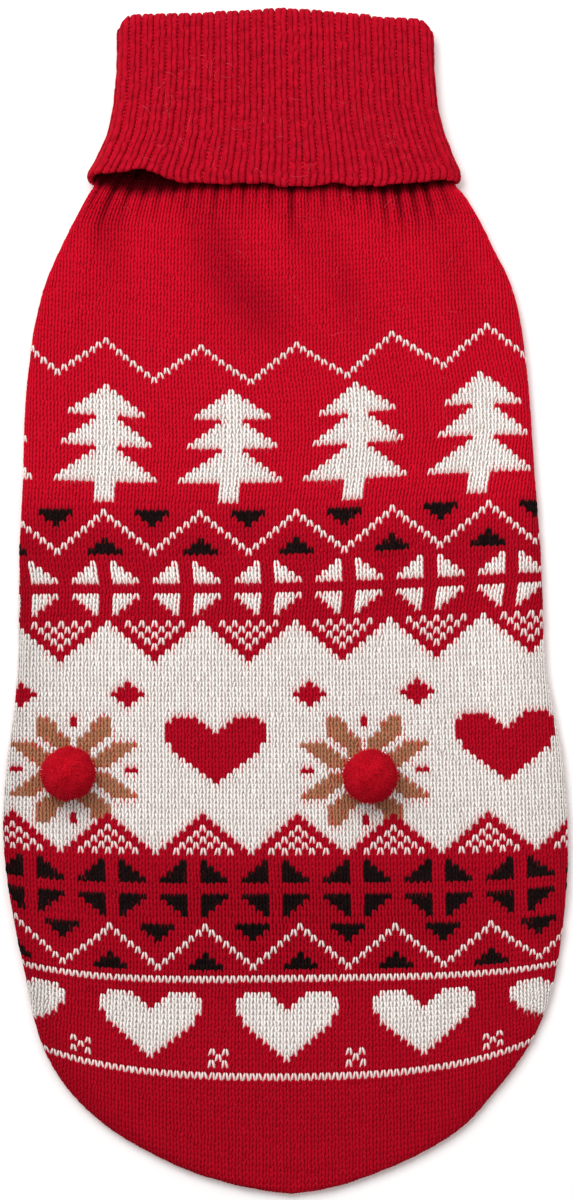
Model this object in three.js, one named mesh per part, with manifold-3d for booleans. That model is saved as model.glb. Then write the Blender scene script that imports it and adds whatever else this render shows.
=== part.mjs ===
// A knitted turtleneck sweater for a dog, laid flat on a table with its back up.
// Millimetres. X runs across the back, Y towards the neck and Z up. The origin is on the table, under the middle.
import * as THREE from 'three';
import Module from 'manifold-3d';
import { mergeVertices } from 'three/addons/utils/BufferGeometryUtils.js';

const wasm = await Module();
wasm.setup();

// ---------------------------------------------------------------- driving sizes
const wall = 2; // thickness of the knitted cloth
const seamGap = 0.3; // between two pieces that are sewn to each other
const neckSeam = 167; // Y of the seam between the body and the collar
const neckRise = 2.3; // height of the body at the neck, where the turned collar lies under it
const riseStarts = 138;
const riseEnds = 158.8;
const neckSlit = 1; // space between the top and bottom layers at the neck
const bodySlit = 3.2; // in the body
const tailSlit = 0.6; // at the tail, over the turned hem
const tailStarts = -84;
const tailFlat = -165;
const sideRounding = 12; // width over which the top layer rounds off beside a fold
const roundingShare = 0.35; // how far it has come down at the fold, as a share of the slit
const neckRounding = 60; // distance over which this rounding grows from nothing at the neck
const foldsFade = 20; // distance over which the soft folds fade out towards the collar
const sideMargin = 16; // width of the back panel that is wrapped under, as far as its seam
const hemWidth = 9; // width of the hem that is turned under at the tail
const fanStarts = -100; // below this station the sections fan out round the tail
const fanEnds = -176;
const tailSag = 1.1; // how far the tail's single layer hangs down inside its hem

// The body laid flat: the places of its left and right folds at each station.
const bodyOutline = [
  { y: neckSeam, left: -71.0, right: 62.6 },
  { y: 160, left: -73.0, right: 64.8 },
  { y: 156, left: -76.9, right: 69.6 },
  { y: 147, left: -81.8, right: 75.2 },
  { y: 136, left: -87.3, right: 80.6 },
  { y: 124, left: -92.5, right: 86.6 },
  { y: 110, left: -96.4, right: 90.6 },
  { y: 94, left: -99.0, right: 92.9 },
  { y: 72, left: -101.0, right: 94.9 },
  { y: 48, left: -101.7, right: 96.5 },
  { y: 22, left: -102.9, right: 98.5 },
  { y: 0, left: -103.2, right: 99.5 },
  { y: -24, left: -103.5, right: 100.5 },
  { y: -44, left: -105.3, right: 104.1 },
  { y: -64, left: -108.0, right: 107.5 },
  { y: -90, left: -109.3, right: 109.2 },
  { y: -115, left: -106.6, right: 108.4 },
  { y: -144, left: -100.9, right: 104.4 },
  { y: -162, left: -97.2, right: 99.0 },
  { y: -176, left: -92.2, right: 91.4 },
  { y: -190, left: -83.0, right: 80.5 },
  { y: -203, left: -69.0, right: 68.5 },
  { y: -213, left: -52.5, right: 52.8 },
  { y: -221, left: -34.8, right: 34.8 },
  { y: -226.6, left: -14.5, right: 17.6 },
  { y: -228.9, left: 2.0, right: 2.0 },
];
const tailTip = bodyOutline[bodyOutline.length - 1];

// Soft folds of the top layer: a hollow has a height below 0. Reach and width are half sizes, and turn is in degrees.
const softFolds = [
  { x: -9, y: 124, reach: 26, width: 15, height: -1.5, turn: 100 },
  { x: 48, y: 128, reach: 30, width: 11, height: 1.2, turn: 104 },
  { x: -62, y: 132, reach: 22, width: 9, height: 0.6, turn: 62 },
  { x: 82, y: 10, reach: 70, width: 9, height: 0.6, turn: 90 },
  { x: -88, y: -20, reach: 60, width: 8, height: -0.4, turn: 88 },
  { x: 18, y: 22, reach: 60, width: 14, height: 0.5, turn: 8 },
  { x: -30, y: -112, reach: 70, width: 12, height: -0.5, turn: 178 },
  { x: 40, y: -150, reach: 50, width: 13, height: 0.5, turn: 12 },
];

// Gathers of the back panel just below the collar, as narrow troughs between its wales of stitches. x is at the seam.
const neckGathers = [
  { x: -66.7, depth: 0.8, reach: 17 },
  { x: -61.6, depth: 1.2, reach: 24 },
  { x: -56.5, depth: 1.2, reach: 22 },
  { x: -51.4, depth: 1.0, reach: 16 },
  { x: -46.2, depth: 0.9, reach: 14 },
  { x: -41.1, depth: 0.8, reach: 12 },
  { x: -36.0, depth: 0.9, reach: 14 },
  { x: -30.9, depth: 0.7, reach: 11 },
  { x: -25.8, depth: 0.9, reach: 15 },
  { x: -20.6, depth: 0.7, reach: 11 },
  { x: -15.5, depth: 0.8, reach: 14 },
  { x: -10.4, depth: 0.7, reach: 11 },
  { x: -5.3, depth: 0.8, reach: 13 },
  { x: -0.2, depth: 0.7, reach: 10 },
  { x: 5.0, depth: 0.8, reach: 13 },
  { x: 10.1, depth: 0.7, reach: 12 },
  { x: 15.2, depth: 0.9, reach: 14 },
  { x: 20.3, depth: 0.8, reach: 12 },
  { x: 25.4, depth: 0.9, reach: 15 },
  { x: 33.1, depth: 1.0, reach: 17 },
  { x: 38.2, depth: 1.2, reach: 20 },
  { x: 43.4, depth: 1.2, reach: 19 },
  { x: 48.5, depth: 1.1, reach: 17 },
  { x: 53.6, depth: 0.9, reach: 14 },
  { x: 58.7, depth: 0.8, reach: 11 },
];
const gatherWidth = 1.7; // half width of one trough
const gatherFan = 0.005; // how much further apart they are for each millimetre below the seam

// The collar: a ribbed tube that is turned down outwards.
const collarMiddle = neckRise + wall + neckSlit / 2; // height of the space between its two inner layers
const ribsAcross = 24; // ribs that show from one side fold to the other
const ribHeight = 1;
const ribProfile = [0, 1, 0.9]; // how far each third of a rib stands out, valley first
const collarOutline = [
  { y: 159, left: -75.4, right: 66.6 },
  { y: 164.6, left: -75.3, right: 66.7 },
  { y: 171, left: -71.8, right: 64.3 },
  { y: 180, left: -68.0, right: 60.8 },
  { y: 191, left: -65.9, right: 58.2 },
  { y: 205, left: -64.9, right: 57.0 },
  { y: 230, left: -64.6, right: 56.2 },
];
const foldLine = [
  { x: -65, y: 219.8 },
  { x: -61, y: 225.0 },
  { x: -33, y: 226.2 },
  { x: 0, y: 228.0 },
  { x: 21, y: 226.4 },
  { x: 37, y: 224.6 },
  { x: 52, y: 223.8 },
  { x: 57, y: 219.6 },
];
// The turned edge's wavy line, and how far it stands off the body.
const turnedEdge = [
  { x: -75, y: 160.6, lift: 0.4 },
  { x: -72.5, y: 163.4, lift: 1.4 },
  { x: -65, y: 164.9, lift: 3.4 },
  { x: -55, y: 166.1, lift: 5.0 },
  { x: -48.5, y: 165.0, lift: 4.0 },
  { x: -44, y: 162.2, lift: 2.6 },
  { x: -37, y: 161.2, lift: 1.0 },
  { x: -22, y: 160.8, lift: 0.5 },
  { x: -11, y: 161.4, lift: 0.8 },
  { x: 0, y: 159.9, lift: 0.4 },
  { x: 10, y: 159.9, lift: 0.3 },
  { x: 17, y: 161.3, lift: 0.9 },
  { x: 30, y: 159.9, lift: 0.8 },
  { x: 43, y: 160.8, lift: 1.6 },
  { x: 54, y: 161.9, lift: 1.4 },
  { x: 66, y: 162.8, lift: 0.5 },
];
const sideReadings = { edge: -70, fold: -60 }; // x at which the two lines above give the height of the side folds

// The belly panel and its two leg holes.
const bellyRearStation = 15; // row of the body's outline at which the belly panel ends
const bellyArch = 16; // how far its rear edge curves towards the neck
const bellyArchPower = 8; // the higher it is, the nearer to the rear edge the rows start to curve
const bellyCells = 12; // across the panel
const legHole = { x: 45, y: 95, across: 19, along: 25 }; // half sizes, inside the band
const legBandWidth = 8;
const legBandWall = 2.4;
const legHoleSteps = 40; // round the hole

// The pompoms, which stand on the back panel.
const pompomRadius = 10.3;
const pompomSeat = 8.7; // height of a ball's middle above the cloth, before it is flattened
const pompomFlattened = 0.85; // its height as a share of its width
const pompomCore = 4.6;
const lockUnevenness = 0.06; // by which share the shortest lock is shorter than the longest
const lockTip = 0.5; // size of a lock's end, from 1 for as wide as its root to 0 for a point
const pompomPlaces = { left: { x: -83.2, y: -65.9 }, right: { x: 32.5, y: -67.0 } };

// ---------------------------------------------------------------- small functions
const mix = (a, b, t) => a + (b - a) * t;
const clamp = (v) => Math.min(Math.max(v, 0), 1);
const smooth = (v) => clamp(v) ** 2 * (3 - 2 * clamp(v));

// Reads a column of a table between its rows, with a smooth curve through them.
function reading(table, key, column) {
  const rows = [...table].sort((a, b) => a[key] - b[key]);
  return (at) => {
    const last = rows.length - 1;
    if (at <= rows[0][key]) return rows[0][column];
    if (at >= rows[last][key]) return rows[last][column];
    let i = 0;
    while (rows[i + 1][key] < at) i++;
    const slope = (a, b) => (rows[b][column] - rows[a][column]) / (rows[b][key] - rows[a][key]);
    const span = rows[i + 1][key] - rows[i][key];
    const t = (at - rows[i][key]) / span;
    const before = slope(Math.max(i - 1, 0), i + 1) * span;
    const after = slope(i, Math.min(i + 2, last)) * span;
    const ease = t * t * (3 - 2 * t);
    const bend = before * t * (1 - t) ** 2 - after * t * t * (1 - t);
    return mix(rows[i][column], rows[i + 1][column], ease) + bend;
  };
}

// A row of the body's outline at a station between its rows.
function outlineAt(station) {
  const i = Math.min(Math.floor(station), bodyOutline.length - 2);
  const rowAt = (k) => bodyOutline[Math.min(Math.max(k, 0), bodyOutline.length - 1)];
  const [a, b, c, d] = [rowAt(i - 1), rowAt(i), rowAt(i + 1), rowAt(i + 2)];
  const t = station - i;
  const curve = (k) =>
    0.5 * (2 * b[k] + (c[k] - a[k]) * t + (2 * a[k] - 5 * b[k] + 4 * c[k] - d[k]) * t ** 2
      + (3 * b[k] - a[k] - 3 * c[k] + d[k]) * t ** 3);
  return { y: curve('y'), left: curve('left'), right: curve('right') };
}

// Joins two rows of points, which may differ in number, with triangles. A point's u is its place in its row, 0 to 1.
function zip(faces, a, b, ring) {
  const steps = (row) => (ring ? row.length : row.length - 1);
  const placeOf = (row, k) => (k < row.length ? row[k].u : 1 + row[0].u);
  const pointOf = (row, k) => row[k % row.length].p;
  let i = 0;
  let j = 0;
  while (i < steps(a) || j < steps(b)) {
    if (j >= steps(b) || (i < steps(a) && placeOf(a, i + 1) <= placeOf(b, j + 1) + 1e-9)) {
      faces.push([pointOf(a, i), pointOf(a, i + 1), pointOf(b, j)]);
      i++;
    } else {
      faces.push([pointOf(a, i), pointOf(b, j + 1), pointOf(b, j)]);
      j++;
    }
  }
}

// Closes a wall's two long edges between four rows, two of its outer skin and two of its inner.
function closeEnds(faces, rows) {
  const [a, b, c, d] = rows.map((row) => row[0].p);
  faces.push([a, b, c], [a, c, d]);
  const [e, f, g, h] = rows.map((row) => row.at(-1).p);
  faces.push([e, g, f], [e, h, g]);
}

// A closed geometry from triangles, turned so that they face out.
function solidFrom(faces) {
  const volume = faces.reduce((sum, [a, b, c]) => sum + a.dot(new THREE.Vector3().crossVectors(b, c)), 0);
  const points = [];
  for (const [a, b, c] of faces) {
    for (const p of volume > 0 ? [a, b, c] : [a, c, b]) points.push(p.x, p.y, p.z);
  }
  const geometry = new THREE.BufferGeometry();
  geometry.setAttribute('position', new THREE.Float32BufferAttribute(points, 3));
  return geometry;
}

function toManifold(geometry) {
  const bare = geometry.clone();
  bare.deleteAttribute('normal');
  bare.deleteAttribute('uv');
  const merged = mergeVertices(bare, 1e-3);
  return new wasm.Manifold(new wasm.Mesh({
    numProp: 3,
    vertProperties: new Float32Array(merged.attributes.position.array),
    triVerts: new Uint32Array(merged.index.array),
  }));
}

function fromManifold(solid) {
  const mesh = solid.getMesh();
  const geometry = new THREE.BufferGeometry();
  geometry.setAttribute('position', new THREE.BufferAttribute(new Float32Array(mesh.vertProperties), 3));
  geometry.setIndex(new THREE.BufferAttribute(new Uint32Array(mesh.triVerts), 1));
  return geometry;
}

// ---------------------------------------------------------------- heights of the body's layers
const riseAt = (y) => neckRise * smooth((y - riseStarts) / (riseEnds - riseStarts));
function slitAt(y) {
  const towardsNeck = smooth((y - riseStarts) / (riseEnds - riseStarts));
  const towardsTail = smooth((tailStarts - y) / (tailStarts - tailFlat));
  return mix(mix(bodySlit, neckSlit, towardsNeck), tailSlit, towardsTail);
}
const middleAt = (y) => riseAt(y) + wall + slitAt(y) / 2;
const marginAt = (y) => mix(sideMargin, hemWidth, smooth((fanStarts - y) / (fanStarts - tailFlat)));

function foldHeight(x, y) {
  return softFolds.reduce((sum, fold) => {
    const turn = THREE.MathUtils.degToRad(fold.turn);
    const along = (x - fold.x) * Math.cos(turn) + (y - fold.y) * Math.sin(turn);
    const across = (y - fold.y) * Math.cos(turn) - (x - fold.x) * Math.sin(turn);
    return sum + fold.height * Math.exp(-((along / fold.reach) ** 2) - (across / fold.width) ** 2);
  }, 0);
}

function gatherDepth(x, y) {
  return neckGathers.reduce((sum, gather) => {
    const fade = 1 - smooth((neckSeam - y) / (gather.reach + neckSeam - riseEnds));
    const line = gather.x * (1 + gatherFan * (neckSeam - y));
    return sum + gather.depth * fade * Math.exp(-(((x - line) / gatherWidth) ** 2));
  }, 0);
}

// ---------------------------------------------------------------- the back panel
// A section runs from the seam under the left fold, round that fold, across the back and round the right fold.
// Near the tail it bends at the middle, so that every section meets the outline squarely.
const foldSteps = 5;
const roundingSteps = 3; // of the top's steps, those beside the fold
const topSteps = 8;
const gatherSplit = 6; // finer steps of the top at the gathers

function backSection(station, skin, split) {
  const { y, left, right } = outlineAt(station);
  const fan = clamp((fanStarts - y) / (fanStarts - tailTip.y));
  const spineY = y > fanStarts ? y : mix(fanStarts, fanEnds, fan);
  const spine = new THREE.Vector2(mix((left + right) / 2, tailTip.left, fan), spineY);
  const slit = slitAt(y);
  const radius = slit / 2 + (skin === 'outer' ? wall : 0);
  const roundOff = roundingShare * slit * smooth((neckSeam + neckRounding - y) / neckRounding);
  const margin = marginAt(y);
  const middle = middleAt(y);

  function half(edgeX) {
    const edge = new THREE.Vector2(edgeX, y);
    const out = edge.clone().sub(spine).normalize();
    const centre = edge.clone().addScaledVector(out, -(slit / 2 + wall));
    const points = [];
    const put = (plan, z) => points.push({ p: new THREE.Vector3(plan.x, plan.y, z) });
    for (const inset of [margin, mix(margin, slit / 2 + wall, 0.5)]) {
      put(edge.clone().addScaledVector(out, -inset), middle - radius);
    }
    for (let i = 0; i <= foldSteps; i++) {
      const angle = -Math.PI / 2 + (Math.PI * i) / foldSteps;
      const upper = radius - (Math.sin(angle) > 0 ? roundOff : 0);
      put(centre.clone().addScaledVector(out, radius * Math.cos(angle)), middle + upper * Math.sin(angle));
    }
    const length = centre.distanceTo(spine);
    const insetOf = (i) => (i <= roundingSteps
      ? (sideRounding * i) / roundingSteps
      : mix(sideRounding, length, (i - roundingSteps) / (topSteps - roundingSteps)));
    for (let i = 1; i <= topSteps; i++) {
      for (let part = split - 1; part >= 0; part--) {
        const reached = mix(insetOf(i), insetOf(i - 1), part / split);
        const plan = centre.clone().addScaledVector(out, -reached);
        const sag = tailSag * fan * smooth((reached - margin) / margin);
        const away = smooth(reached / sideRounding) * smooth((riseEnds - plan.y) / foldsFade);
        const folds = foldHeight(plan.x, plan.y) * away;
        const gather = skin === 'outer' ? gatherDepth(plan.x, plan.y) : 0;
        const drop = roundOff * (1 - clamp(reached / sideRounding)) ** 2;
        put(plan, middle + radius - drop + folds - gather - sag);
      }
    }
    return points;
  }

  const leftHalf = half(left);
  const rightHalf = half(right).slice(0, -1).reverse();
  const points = [...leftHalf, ...rightHalf];
  const lead = 2 + foldSteps; // steps of the margin and the fold, which aren't split
  const whole = 2 * (lead + topSteps);
  points.forEach((point, i) => {
    const last = points.length - 1;
    const fromEnd = Math.min(i, last - i);
    const place = fromEnd <= lead ? fromEnd : lead + (fromEnd - lead) / split;
    point.u = (i <= last / 2 ? place : whole - place) / whole;
  });
  return points;
}

// Stations are close together at the gathers, where the sections are finer too, and round the tail.
const gathersEnd = 4;
const tailBends = 17;
const stations = [];
for (let at = 0; at <= bodyOutline.length - 1; at += at < gathersEnd || at >= tailBends ? 0.5 : 1) stations.push(at);

function backPanel() {
  const outer = stations.map((s) => backSection(s, 'outer', s <= gathersEnd ? gatherSplit : 1));
  const inner = stations.map((s) => backSection(s, 'inner', 1));
  const faces = [];
  for (let k = 0; k + 1 < stations.length; k++) {
    zip(faces, outer[k], outer[k + 1], false);
    zip(faces, inner[k + 1], inner[k], false);
    closeEnds(faces, [outer[k], outer[k + 1], inner[k + 1], inner[k]]);
  }
  zip(faces, inner[0], outer[0], false);
  return solidFrom(faces);
}

// ---------------------------------------------------------------- the belly panel and the leg bands
const ellipse = (across, along) => new THREE.Shape().absellipse(0, 0, across, along, 0, 2 * Math.PI);

function bellyPanel() {
  const panelStations = stations.filter((station) => station <= bellyRearStation);
  const row = (station, height) => {
    const { y, left, right } = outlineAt(station);
    const inset = marginAt(y) + seamGap;
    const arch = bellyArch * (station / bellyRearStation) ** bellyArchPower;
    return Array.from({ length: bellyCells + 1 }, (_, i) => {
      const u = i / bellyCells;
      const plan = [mix(left + inset, right - inset, u), y + arch * 4 * u * (1 - u)];
      return { p: new THREE.Vector3(...plan, riseAt(y) + height), u };
    });
  };
  const bottom = panelStations.map((station) => row(station, 0));
  const top = panelStations.map((station) => row(station, wall));
  const faces = [];
  for (let k = 0; k + 1 < panelStations.length; k++) {
    zip(faces, bottom[k], bottom[k + 1], false);
    zip(faces, top[k + 1], top[k], false);
    closeEnds(faces, [bottom[k], bottom[k + 1], top[k + 1], top[k]]);
  }
  zip(faces, top[0], bottom[0], false);
  zip(faces, bottom.at(-1), top.at(-1), false);
  let panel = toManifold(solidFrom(faces));
  for (const side of [-1, 1]) {
    const reach = legBandWidth + seamGap;
    const cutter = new THREE.ExtrudeGeometry(ellipse(legHole.across + reach, legHole.along + reach), {
      depth: 4 * wall, bevelEnabled: false, curveSegments: legHoleSteps,
    });
    cutter.translate(side * legHole.x, legHole.y, -wall);
    panel = panel.subtract(toManifold(cutter));
  }
  return fromManifold(panel);
}

function legBand(side) {
  const shape = ellipse(legHole.across + legBandWidth, legHole.along + legBandWidth);
  shape.holes.push(new THREE.Path().absellipse(0, 0, legHole.across, legHole.along, 0, 2 * Math.PI));
  const band = new THREE.ExtrudeGeometry(shape, {
    depth: legBandWall, bevelEnabled: false, curveSegments: legHoleSteps,
  });
  band.translate(side * legHole.x, legHole.y, 0);
  return band;
}

// ---------------------------------------------------------------- the collar
// A ring runs round one skin of the collar at a share of its height: across the top, round the right fold, back
// along the bottom and round the left fold. Its offset is its distance from the space between the inner layers.
const innerOffset = neckSlit / 2;
const standOffset = innerOffset + wall;
const turnedOffset = standOffset + seamGap;
const outerOffset = turnedOffset + wall;
const foldOffset = (innerOffset + outerOffset) / 2;
const foldRadius = (outerOffset - innerOffset) / 2;
const leftSide = reading(collarOutline, 'y', 'left');
const rightSide = reading(collarOutline, 'y', 'right');
const foldY = reading(foldLine, 'x', 'y');
const edgeY = reading(turnedEdge, 'x', 'y');
const edgeLift = reading(turnedEdge, 'x', 'lift');

const topTurn = 0.45; // share of a ring's way that lies across the top, and again underneath
const sideTurn = 0.5 - topTurn; // round one side fold
const sideSteps = 5;
const plainCells = 13; // across a ring where it has no ribs

function collarRing({ height, offset, below = 0, rib = 0, lift = 0, seated = false }) {
  // height is the share from the turned edge to the fold, and below is a distance taken off it
  const lineY = (x) => (seated ? neckSeam + seamGap : mix(edgeY(x), foldY(x), height) - below);
  const sideY = seated ? neckSeam + seamGap : mix(edgeY(sideReadings.edge), foldY(sideReadings.fold), height) - below;
  const start = leftSide(sideY) + outerOffset;
  const end = rightSide(sideY) - outerOffset;
  const points = [];
  const put = (x, y, z, u) => points.push({ p: new THREE.Vector3(x, y, z), u });
  const cells = rib ? ribsAcross * ribProfile.length : plainCells;
  for (let i = 0; i <= cells; i++) {
    const x = mix(start, end, i / cells);
    const third = rib ? ribProfile[i % ribProfile.length] * ribHeight : 0;
    const up = rib ? third * rib.up : 0;
    const outward = rib ? third * rib.along : 0;
    put(x, lineY(x) + outward, collarMiddle + offset + up + lift * edgeLift(x), (topTurn * i) / cells);
  }
  const putFold = (foldX, from, u) => {
    for (let i = 1; i < sideSteps; i++) {
      const angle = from - (Math.PI * i) / sideSteps;
      const z = collarMiddle + offset * Math.sin(angle);
      put(foldX + offset * Math.cos(angle), lineY(foldX), z, u + (sideTurn * i) / sideSteps);
    }
  };
  putFold(end, Math.PI / 2, topTurn);
  for (let i = 0; i <= plainCells; i++) {
    const x = mix(end, start, i / plainCells);
    put(x, lineY(x), collarMiddle - offset, 0.5 + (topTurn * i) / plainCells);
  }
  putFold(start, -Math.PI / 2, 0.5 + topTurn);
  return points;
}

function collar() {
  const rings = [];
  const shares = [0, 0.1, 0.25, 0.45, 0.65, 0.85];
  const foldTurns = 6;
  const liftAt = (share) => (1 - share) ** 3;
  for (const share of shares) {
    rings.push(collarRing({ height: share, offset: outerOffset, rib: { up: 1, along: 0 }, lift: liftAt(share) }));
  }
  for (let i = 0; i <= foldTurns; i++) {
    const angle = (Math.PI * i) / foldTurns;
    const fade = i === foldTurns ? 0 : 1;
    rings.push(collarRing({
      height: 1,
      below: foldRadius * (1 - Math.sin(angle)),
      offset: foldOffset + foldRadius * Math.cos(angle),
      rib: { up: fade * Math.max(Math.cos(angle), 0), along: fade * Math.sin(angle) },
    }));
  }
  rings.push(collarRing({ height: 0.5, offset: innerOffset }));
  rings.push(collarRing({ seated: true, offset: innerOffset }));
  rings.push(collarRing({ seated: true, offset: standOffset }));
  rings.push(collarRing({ height: 0.5, offset: standOffset }));
  rings.push(collarRing({ height: 1, below: foldRadius, offset: standOffset }));
  rings.push(collarRing({ height: 1, below: foldRadius - seamGap / 2, offset: standOffset + seamGap / 2 }));
  rings.push(collarRing({ height: 1, below: foldRadius, offset: turnedOffset }));
  for (const share of shares.slice(0, -1).reverse()) {
    rings.push(collarRing({ height: share, offset: turnedOffset, lift: liftAt(share) }));
  }
  const faces = [];
  rings.forEach((ring, k) => zip(faces, ring, rings[(k + 1) % rings.length], true));
  return solidFrom(faces);
}

// ---------------------------------------------------------------- the pompoms
// Each face of a round core carries one three-sided lock of yarn. Locks that point down end just above the cloth.
function pompom({ x, y }) {
  const core = new THREE.IcosahedronGeometry(1, 1).attributes.position;
  const ground = middleAt(y) + slitAt(y) / 2 + wall + foldHeight(x, y) + seamGap;
  const centre = new THREE.Vector3(x, y, ground + pompomSeat * pompomFlattened);
  const flattened = new THREE.Vector3(1, 1, pompomFlattened);
  const placed = (corner, size) => corner.clone().multiplyScalar(size).multiply(flattened).add(centre);
  const faces = [];
  for (let i = 0; i < core.count; i += 3) {
    const root = [0, 1, 2].map((k) => new THREE.Vector3().fromBufferAttribute(core, i + k));
    const way = root[0].clone().add(root[1]).add(root[2]).normalize();
    const tips = root.map((corner) => way.clone().lerp(corner, lockTip));
    const lowest = Math.min(...tips.map((tip) => tip.z));
    const uneven = 1 - (lockUnevenness * ((i * 7) % 5)) / 4;
    const length = Math.min(pompomRadius * uneven, lowest < 0 ? pompomSeat / -lowest : pompomRadius);
    const ends = tips.map((tip) => placed(tip, length));
    const roots = root.map((corner) => placed(corner, pompomCore));
    for (let k = 0; k < 3; k++) {
      const next = (k + 1) % 3;
      faces.push([roots[k], roots[next], ends[next]], [roots[k], ends[next], ends[k]]);
    }
    faces.push(ends);
  }
  return solidFrom(faces);
}

// ---------------------------------------------------------------- the sweater
const yarn = (color) => new THREE.MeshStandardMaterial({ color, roughness: 0.9, metalness: 0 });
const redKnit = yarn('#b50e20');
const deepRedKnit = yarn('#9a121c');
const redPile = yarn('#b0101d');

const sweater = new THREE.Group();
sweater.name = 'dog_sweater';

function addPiece(name, geometry, material) {
  const mesh = new THREE.Mesh(geometry, material);
  mesh.name = name;
  sweater.add(mesh);
}

addPiece('back_panel', backPanel(), redKnit);
addPiece('belly_panel', bellyPanel(), deepRedKnit);
addPiece('leg_band_left', legBand(-1), redKnit);
addPiece('leg_band_right', legBand(1), redKnit);
addPiece('collar', collar(), redKnit);
addPiece('pompom_left', pompom(pompomPlaces.left), redPile);
addPiece('pompom_right', pompom(pompomPlaces.right), redPile);

export default sweater;
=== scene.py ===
import math

import bmesh
import bpy
import numpy as np
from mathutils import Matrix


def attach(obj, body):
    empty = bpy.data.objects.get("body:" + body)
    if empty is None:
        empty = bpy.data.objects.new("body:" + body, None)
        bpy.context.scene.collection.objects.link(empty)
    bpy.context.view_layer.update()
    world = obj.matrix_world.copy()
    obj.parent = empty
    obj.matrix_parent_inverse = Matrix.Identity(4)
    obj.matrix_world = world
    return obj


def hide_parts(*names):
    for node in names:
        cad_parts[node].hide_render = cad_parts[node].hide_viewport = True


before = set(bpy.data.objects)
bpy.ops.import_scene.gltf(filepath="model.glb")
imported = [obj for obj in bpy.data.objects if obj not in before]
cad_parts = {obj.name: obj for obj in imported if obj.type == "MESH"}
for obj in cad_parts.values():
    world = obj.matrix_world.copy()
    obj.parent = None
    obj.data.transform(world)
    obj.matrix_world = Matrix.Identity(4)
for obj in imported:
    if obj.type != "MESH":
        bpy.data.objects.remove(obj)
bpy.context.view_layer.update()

mm = 0.001  # the tables below are in millimetres
chance = np.random.default_rng(11)

# A knitted dog sweater, laid flat with its back up: neck towards +Y, table at Z 0.
body = {
    "wall": 2.0,          # thickness of the cloth with its stitches
    "stitchDepth": 0.7,   # part of the wall that the stitches take
    "neckSeam": 167.0, "neckRise": 2.3, "riseStarts": 138.0, "riseEnds": 158.8,
    "neckSlit": 1.0, "bodySlit": 3.2, "tailSlit": 0.6, "tailStarts": -84.0, "tailFlat": -165.0,
    "sideRounding": 12.0, "sideMargin": 16.0, "hemWidth": 9.0,
    "roundingShare": 0.35,  # how far the top layer has come down at a fold, as a share of the slit
    "neckRounding": 60.0,   # distance over which this grows from nothing at the neck
    "foldsFade": 20.0,      # distance over which the soft folds fade out towards the collar
    "fanStarts": -100.0, "fanEnds": -176.0, "tailSag": 1.1,
}
outlineRows = np.array([  # station, left fold, right fold
    (167, -72.2, 63.6), (160, -74.4, 66.2), (156, -76.9, 69.6), (147, -81.8, 75.2), (136, -87.3, 80.6),
    (124, -92.5, 86.6), (110, -96.4, 90.6), (94, -99.0, 92.9), (72, -101.0, 94.9), (48, -101.7, 96.5),
    (22, -102.9, 98.5), (0, -103.2, 99.5), (-24, -103.5, 100.5), (-44, -105.3, 104.1), (-64, -108.0, 107.5),
    (-90, -109.3, 109.2), (-115, -106.6, 108.4), (-144, -100.9, 104.4), (-162, -97.2, 99.0),
    (-176, -92.2, 91.4), (-190, -83.0, 80.5), (-203, -69.0, 68.5), (-213, -52.5, 52.8),
    (-221, -34.8, 34.8), (-226.6, -14.5, 17.6), (-228.9, 2.0, 2.0)])
softFolds = [  # x, y, half reach, half width, height, turn in degrees
    (-26, 133, 17, 9, -1.6, 110), (-11, 113, 16, 10, -1.9, 128), (23, 121, 17, 6, -1.1, 106),
    (-68, 140, 18, 7, -1.0, 100), (6, 142, 11, 8, -0.5, 90), (66, 122, 26, 8, -0.5, 100),
    (-6, 137, 13, 6, 0.9, 100), (31, 141, 11, 8, 0.9, 100), (51, 119, 22, 9, 1.2, 102),
    (-50, 130, 28, 12, 0.7, 95), (82, 10, 70, 9, 0.6, 90), (-88, -20, 60, 8, -0.4, 88),
    (18, 22, 60, 14, 0.5, 8), (-30, -112, 70, 12, -0.5, 178), (40, -150, 50, 13, 0.5, 12)]
neckGathers = [  # x, depth, reach
    (-70.5, 0.8, 14), (-66.7, 1.3, 22), (-61.6, 1.8, 27), (-56.5, 1.6, 20), (-51.4, 1.3, 17),
    (-46.2, 1.4, 16), (-41.1, 1.2, 15), (-36.0, 1.4, 17), (-30.9, 1.2, 15), (-25.8, 1.6, 19),
    (-20.6, 1.2, 15), (-15.5, 1.5, 18), (-10.4, 1.2, 15), (-5.3, 1.4, 17), (2.3, 1.9, 27),
    (8.6, 1.2, 14), (14.2, 1.4, 16), (20.3, 1.2, 15), (25.4, 1.4, 17), (31.0, 1.6, 18),
    (36.2, 2.0, 24), (41.4, 2.2, 26), (46.6, 2.0, 24), (51.4, 1.9, 22), (57.0, 1.3, 16)]
neckHollows = [  # x, y, half reach across, half reach along, depth: the cloth dives under the turned edge
    (-55, 166, 10, 6.0, 2.4), (44, 166, 12, 4.5, 1.4), (0, 167, 70, 4, 0.9)]
gather = {
    "width": 0.62, "widthPerDepth": 0.3,
    "clothWidth": 2.6,  # the cloth behind the stitches sinks over this width, so that it stays below them
    "fan": 0.003,       # spread of the wales for each millimetre below the seam
    "sideFan": 0.0035,  # and how much more of it there is at 60 mm from the middle
    "end": 143.0, "ease": 1.3,
}
shading = {  # painted shade: shares by which the yarn is painted darker where shade falls
    "even": 0.05, "perFold": 0.14, "foldMost": 0.5,  # everywhere, and more for each millimetre that a soft fold sinks
    "left": 0.2, "right": 0.08, "sideReach": 15.0, "sidesStart": 60.0,  # painted shade at the side folds
    # painted shade in the gathers, for each millimetre of their depth
    "perGather": 0.5,
    "underEdge": 0.6, "perLift": 0.12,  # painted shadow under the collar's turned edge, and more where it stands off
    "edgeReach": 1.6, "liftReach": 1.8, "edgeStart": 1.5, "edgeFade": 1.3,
    "most": 0.97,
}
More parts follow.
